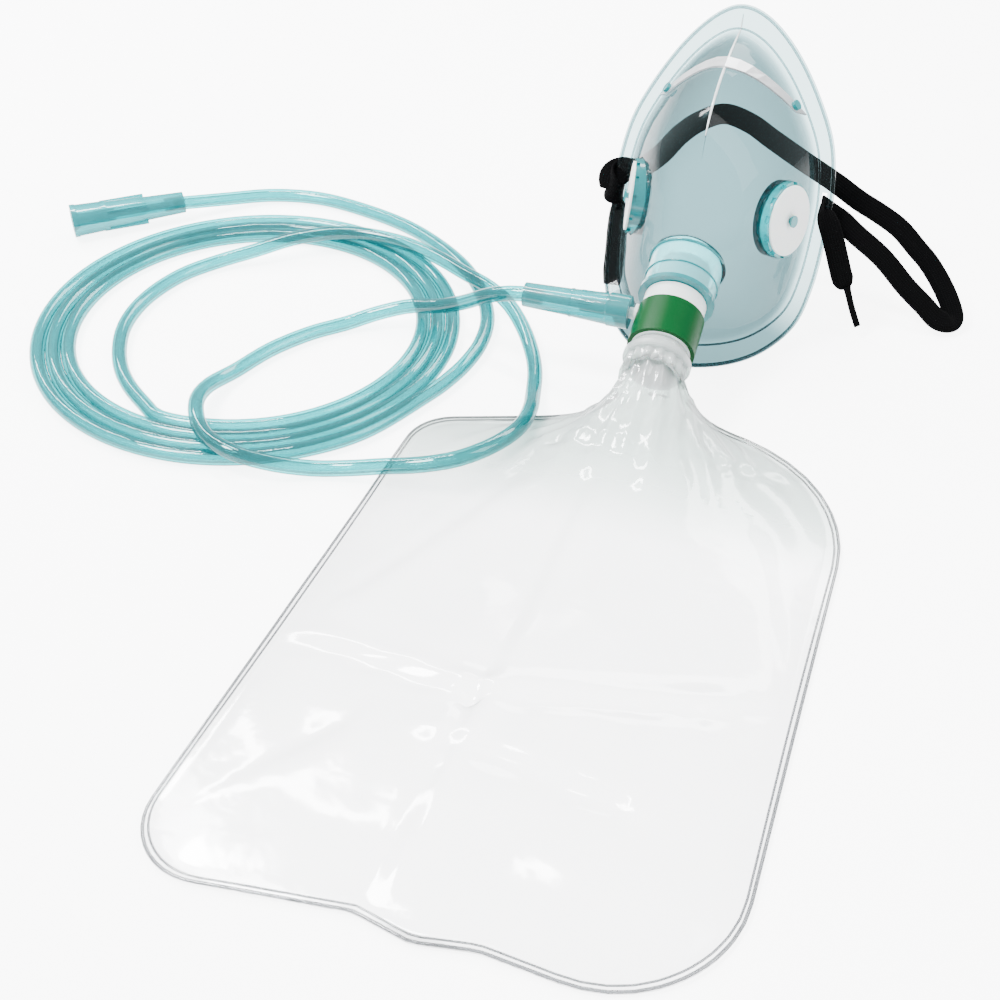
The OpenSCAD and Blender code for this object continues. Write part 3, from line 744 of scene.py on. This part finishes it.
def make_bag():
    """Both films as one skin, from rings round the neck to rows across the bag."""
    left, right = outline_sides()
    across, rows = 220, 130
    back = Vector((0, -math.sin(TILT), math.cos(TILT)))
    side = Vector((1, 0, 0))
    angles = [math.pi * (2 * j + 1) / across for j in range(across)]
    rings = []
    neck = ((-0.2, 12.2, 0), (-2.5, 13.0, 0.1), (-6, 13.2, 0.3), (-10, 13.1, 0.6), (-14, 13.4, 0.9))
    for s, r, pleat in neck:
        rings.append([PORT + AXIS * s + (r + pleat * math.sin(15 * a))
                      * (side * math.cos(a) + back * math.sin(a)) for a in angles])
    for i in range(1, rows + 1):
        t = 0.997 * (i / rows) ** 1.15
        a, b = along_line(right, t), along_line(left, t)
        ring = []
        for angle in angles:
            x = math.cos(angle)
            p = (a + b) / 2 + (a - b) / 2 * x
            if p.y < HOLLOW_PAST:
                p = pulled_in(p)
            top, low = film_heights(p)
            lift = neck_lift(p)
            gather = (2.3 * pleats(p) + 0.8 * fold_height(p, NECK_FOLDS)) * (1 - abs(x)) ** 0.5
            upper = angle < math.pi
            ring_z = NECK_Z + 13 * math.sin(angle)
            flat = top if upper else low
            z = flat * (1 - lift) + lift * ring_z + (gather if upper else 0.1 * gather)
            ring.append(Vector((p.x, p.y + PORT.y, max(0.25, z))))
        rings.append(ring)
    bag = loft("bag_film_body", rings, caps=True)
    dress(bag, "bag_film")
    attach(bag, "reservoir")
    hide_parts("reservoir_bag")
    return bag


def make_weld():
    """The raised double line where the two films are welded, all round but for the neck."""
    line = even([Vector((p.x, p.y, 0)) for p in OUTLINE[4:-4]], 4)
    made = []
    for name, inset, width in (("bag_weld_outer", 0.6, 0.65), ("bag_weld_inner", 2.7, 0.45)):
        pts = []
        for p in line:
            q = p + (BAG_MIDDLE - p).normalized() * inset
            lift = neck_lift(p)
            pts.append(Vector((q.x, q.y + PORT.y, EDGE_TOP * (1 - lift) + NECK_Z * lift)))
        wavy = [p + Vector((0, 0, 0.35 * noise.noise(p / 30))) for p in pts]
        weld = loft(name, [[p + width * (math.cos(a) * s + 0.75 * math.sin(a) * u)
                            for a in whole_turn(8)] for p, s, u in frames(wavy)])
        dress(weld, "weld_edge")
        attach(weld, "reservoir")
        made.append(weld)
    return made


bag_film_body = make_bag()
welds = make_weld()


# ---------------------------------------------------------------- carried-over parts

for part in frame["record"]["subparts"]:
    obj, slot = bpy.data.objects.get(part["node"]), part["material_slot"]
    if obj is not None and obj.type == "MESH":
        for material_slot in obj.material_slots:
            material_slot.material = MATS[slot]


# ---------------------------------------------------------------- stage and light

def make_stage():
    """A pale paper floor. It glows more where the camera sees it, to read as near white."""
    n = Nodes("paper_floor")
    grain = n.noise(12, 2)
    base = n.mix_colour(grain, (0.93, 0.93, 0.94), (0.96, 0.96, 0.965))
    half, below = 30000, -0.3
    floor = new_mesh("floor", [(-half, -half, below), (half, -half, below), (half, half, below),
                               (-half, half, below)], [(0, 1, 2, 3)])
    seen = n.add("ShaderNodeLightPath").outputs["Is Camera Ray"]
    floor.data.materials.append(n.end(n.add("ShaderNodeBsdfPrincipled", {
        "Base Color": base, "Roughness": 0.9, "Specular IOR Level": 0.1,
        "Emission Color": (1, 1, 1, 1), "Emission Strength": n.ramp(seen, 0.9, 6.0)}).outputs[0]))


def softbox(name, at, aim, size, power):
    """A soft light at one place, turned to another. Metres and watts."""
    light = bpy.data.lights.new(name, "AREA")
    light.shape, light.size, light.size_y, light.energy = "RECTANGLE", size[0], size[1], power
    obj = bpy.data.objects.new(name, light)
    bpy.context.scene.collection.objects.link(obj)
    obj.location = at
    obj.rotation_euler = (Vector(aim) - Vector(at)).to_track_quat("-Z", "Y").to_euler()


def make_light():
    world = bpy.data.worlds.new("studio")
    bpy.context.scene.world = world
    world.use_nodes = True
    world.node_tree.nodes["Background"].inputs[0].default_value = (0.95, 0.975, 1, 1)
    world.node_tree.nodes["Background"].inputs[1].default_value = 1.0
    softbox("key", (-0.7, -0.2, 1.3), (-0.05, 0.1, 0), (0.4, 0.4), 36)
    softbox("fill", (0.9, 0.1, 0.8), (0, 0.1, 0), (0.5, 0.9), 8)
    softbox("back", (0.1, 1.2, 0.9), (0, 0.1, 0.05), (1.0, 0.3), 14)
    softbox("strip", (-0.55, 0.45, 0.75), (0, 0.25, 0.05), (0.06, 0.9), 12)


make_stage()
make_light()
